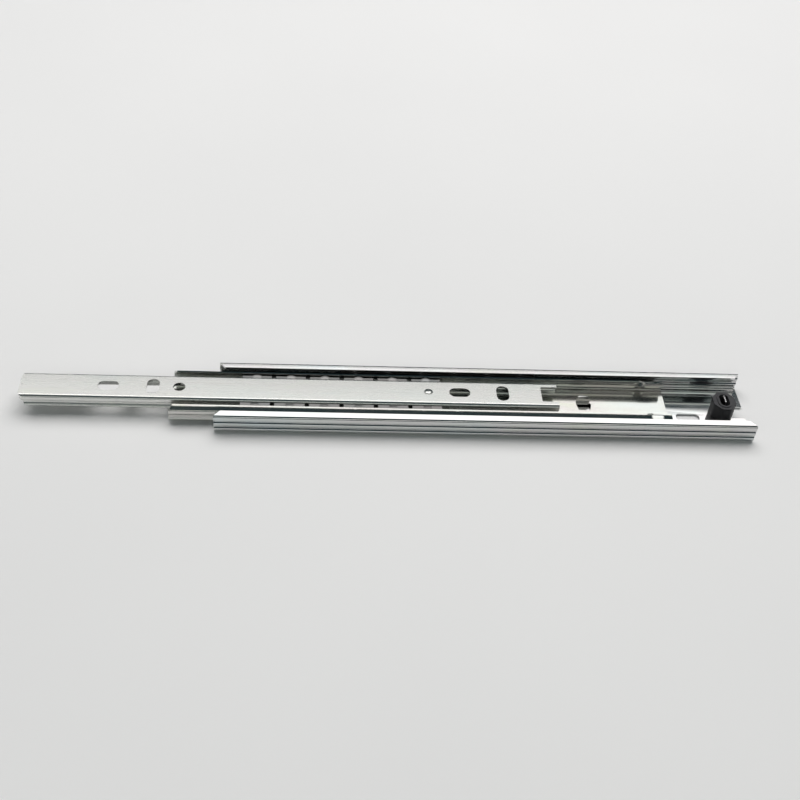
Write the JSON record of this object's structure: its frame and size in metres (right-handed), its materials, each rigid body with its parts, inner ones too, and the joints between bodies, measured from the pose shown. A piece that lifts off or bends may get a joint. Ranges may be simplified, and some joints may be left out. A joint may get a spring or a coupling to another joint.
{
  "type": "drawer slide",
  "caption": "Telescopic full-extension ball-bearing drawer slide of three rolled steel members, part drawn out, with ball cages, screw slots and a rubber bumper at the rear.",
  "frame": {"origin": "middle of the cabinet member's back face, which is screwed to the cabinet side", "axes": "X along the slide, the drawer pulling out towards -X; Y across the slide; +Z from the cabinet side towards the drawer side"},
  "size_m": [0.4065, 0.045, 0.0127],
  "materials": {
    "cabinet_zinc": "bright zinc-plated cold-rolled strip, semi-gloss",
    "middle_zinc": "bright zinc-plated cold-rolled strip, semi-gloss",
    "drawer_zinc": "bright zinc-plated cold-rolled strip, satin",
    "cage_steel": "zinc-plated thin sheet, satin",
    "ball_steel": "polished hardened steel",
    "bumper_rubber": "matt black moulded rubber"
  },
  "bodies": {
    "cabinet": {"cabinet_member": "cabinet_zinc", "rear_bumper": "bumper_rubber"},
    "outer_cage": {"outer_ball_cage": "cage_steel", "outer_ball_left_1": "ball_steel", "outer_ball_left_2": "ball_steel", "outer_ball_left_3": "ball_steel", "outer_ball_left_4": "ball_steel", "outer_ball_left_5": "ball_steel", "outer_ball_left_6": "ball_steel", "outer_ball_right_1": "ball_steel", "outer_ball_right_2": "ball_steel", "outer_ball_right_3": "ball_steel", "outer_ball_right_4": "ball_steel", "outer_ball_right_5": "ball_steel", "outer_ball_right_6": "ball_steel"},
    "middle": {"middle_member": "middle_zinc"},
    "inner_cage": {"inner_ball_cage": "cage_steel", "inner_ball_left_1": "ball_steel", "inner_ball_left_2": "ball_steel", "inner_ball_left_3": "ball_steel", "inner_ball_left_4": "ball_steel", "inner_ball_left_5": "ball_steel", "inner_ball_left_6": "ball_steel", "inner_ball_right_1": "ball_steel", "inner_ball_right_2": "ball_steel", "inner_ball_right_3": "ball_steel", "inner_ball_right_4": "ball_steel", "inner_ball_right_5": "ball_steel", "inner_ball_right_6": "ball_steel"},
    "drawer": {"drawer_member": "drawer_zinc"}
  },
  "joints": [
    {"name": "middle_slide", "type": "slide", "parent": "cabinet", "child": "middle", "axis": [-1, 0, 0], "range_m": [-0.0258, 0.1262]},
    {"name": "outer_cage_slide", "type": "slide", "parent": "cabinet", "child": "outer_cage", "axis": [-1, 0, 0], "range_m": [-0.0129, 0.0631]},
    {"name": "drawer_slide", "type": "slide", "parent": "middle", "child": "drawer", "axis": [-1, 0, 0], "range_m": [-0.0788, 0.0692]},
    {"name": "inner_cage_slide", "type": "slide", "parent": "middle", "child": "inner_cage", "axis": [-1, 0, 0], "range_m": [-0.0394, 0.0346]}
  ],
  "couplings": [
    {"joint": "outer_cage_slide", "follows": "middle_slide", "ratio": 0.5},
    {"joint": "inner_cage_slide", "follows": "drawer_slide", "ratio": 0.5}
  ]
}
